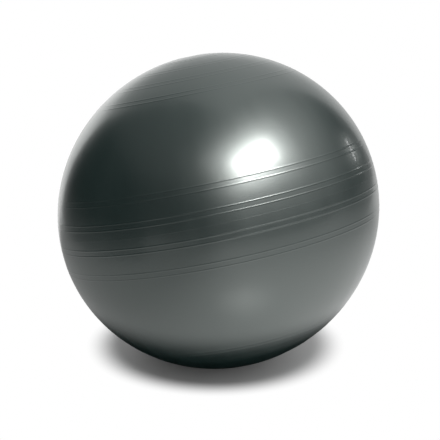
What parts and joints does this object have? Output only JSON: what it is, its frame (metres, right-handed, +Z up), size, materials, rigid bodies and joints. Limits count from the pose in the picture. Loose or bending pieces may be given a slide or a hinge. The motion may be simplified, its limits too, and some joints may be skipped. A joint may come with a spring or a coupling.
{
  "type": "exercise ball",
  "caption": "Inflated soft vinyl exercise ball with rings of paired moulded ribs, a bonded valve seat and a pull-out plug, resting on a flat contact patch.",
  "frame": {"origin": "on the floor, straight below the middle of the ball, inside the flat contact patch", "axes": "+Z up; the axis of the rings and the valve leans 11 degrees towards -X and 12 degrees towards +Y; the longest diameter runs near +X"},
  "size_m": [0.6569, 0.6397, 0.6411],
  "materials": {
    "ball_vinyl": "satin",
    "seat_vinyl": "satin",
    "plug_vinyl": "satin"
  },
  "bodies": {
    "ball": {"ball_shell": "ball_vinyl", "valve_seat": "seat_vinyl"},
    "plug": {"valve_plug": "plug_vinyl"}
  },
  "joints": [
    {"name": "plug_pull", "type": "slide", "parent": "ball", "child": "plug", "axis": [-0.1984, 0.2014, 0.9592], "range_m": [0, 0.04]}
  ]
}
